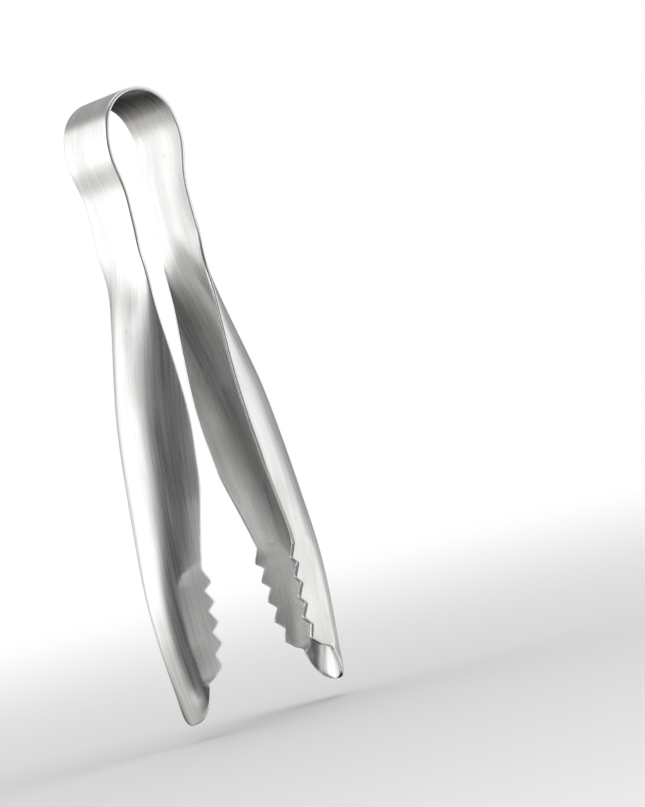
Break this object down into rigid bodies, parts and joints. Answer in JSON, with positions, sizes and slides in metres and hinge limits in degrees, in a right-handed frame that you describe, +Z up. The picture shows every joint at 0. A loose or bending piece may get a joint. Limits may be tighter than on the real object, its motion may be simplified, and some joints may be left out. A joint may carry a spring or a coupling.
{
  "type": "ice tongs",
  "caption": "Sprung one-piece steel ice tongs with a round bow, flat shanks, channelled arms and toothed jaws with rounded tips.",
  "frame": {"origin": "centre of the inner cylinder of the bow's crown, where a rail or rim sits when the tongs hang", "axes": "+Z up through the top of the bow, X the way the arms open, Y across the strip"},
  "size_m": [0.0492, 0.0216, 0.1486],
  "materials": {
    "brushed_stainless": "satin, brushed along the strip"
  },
  "bodies": {
    "bow": {"bow_crown": "brushed_stainless"},
    "arm_right": {"bow_spring_right": "brushed_stainless", "shank_right": "brushed_stainless", "channel_right": "brushed_stainless", "jaw_right": "brushed_stainless"},
    "arm_left": {"bow_spring_left": "brushed_stainless", "shank_left": "brushed_stainless", "channel_left": "brushed_stainless", "jaw_left": "brushed_stainless"}
  },
  "joints": [
    {"name": "squeeze_right", "type": "hinge", "parent": "bow", "child": "arm_right", "pos_m": [0.0095, 0, -0.0065], "axis": [0, 1, 0], "range_deg": [-5, 5.5], "stiffness_Nm_per_rad": 4.8, "deforming": ["bow_spring_right"]},
    {"name": "squeeze_left", "type": "hinge", "parent": "bow", "child": "arm_left", "pos_m": [-0.0095, 0, -0.0065], "axis": [0, -1, 0], "range_deg": [-5, 5.5], "stiffness_Nm_per_rad": 4.8, "deforming": ["bow_spring_left"]}
  ],
  "couplings": [
    {"joint": "squeeze_left", "follows": "squeeze_right", "ratio": 1}
  ]
}
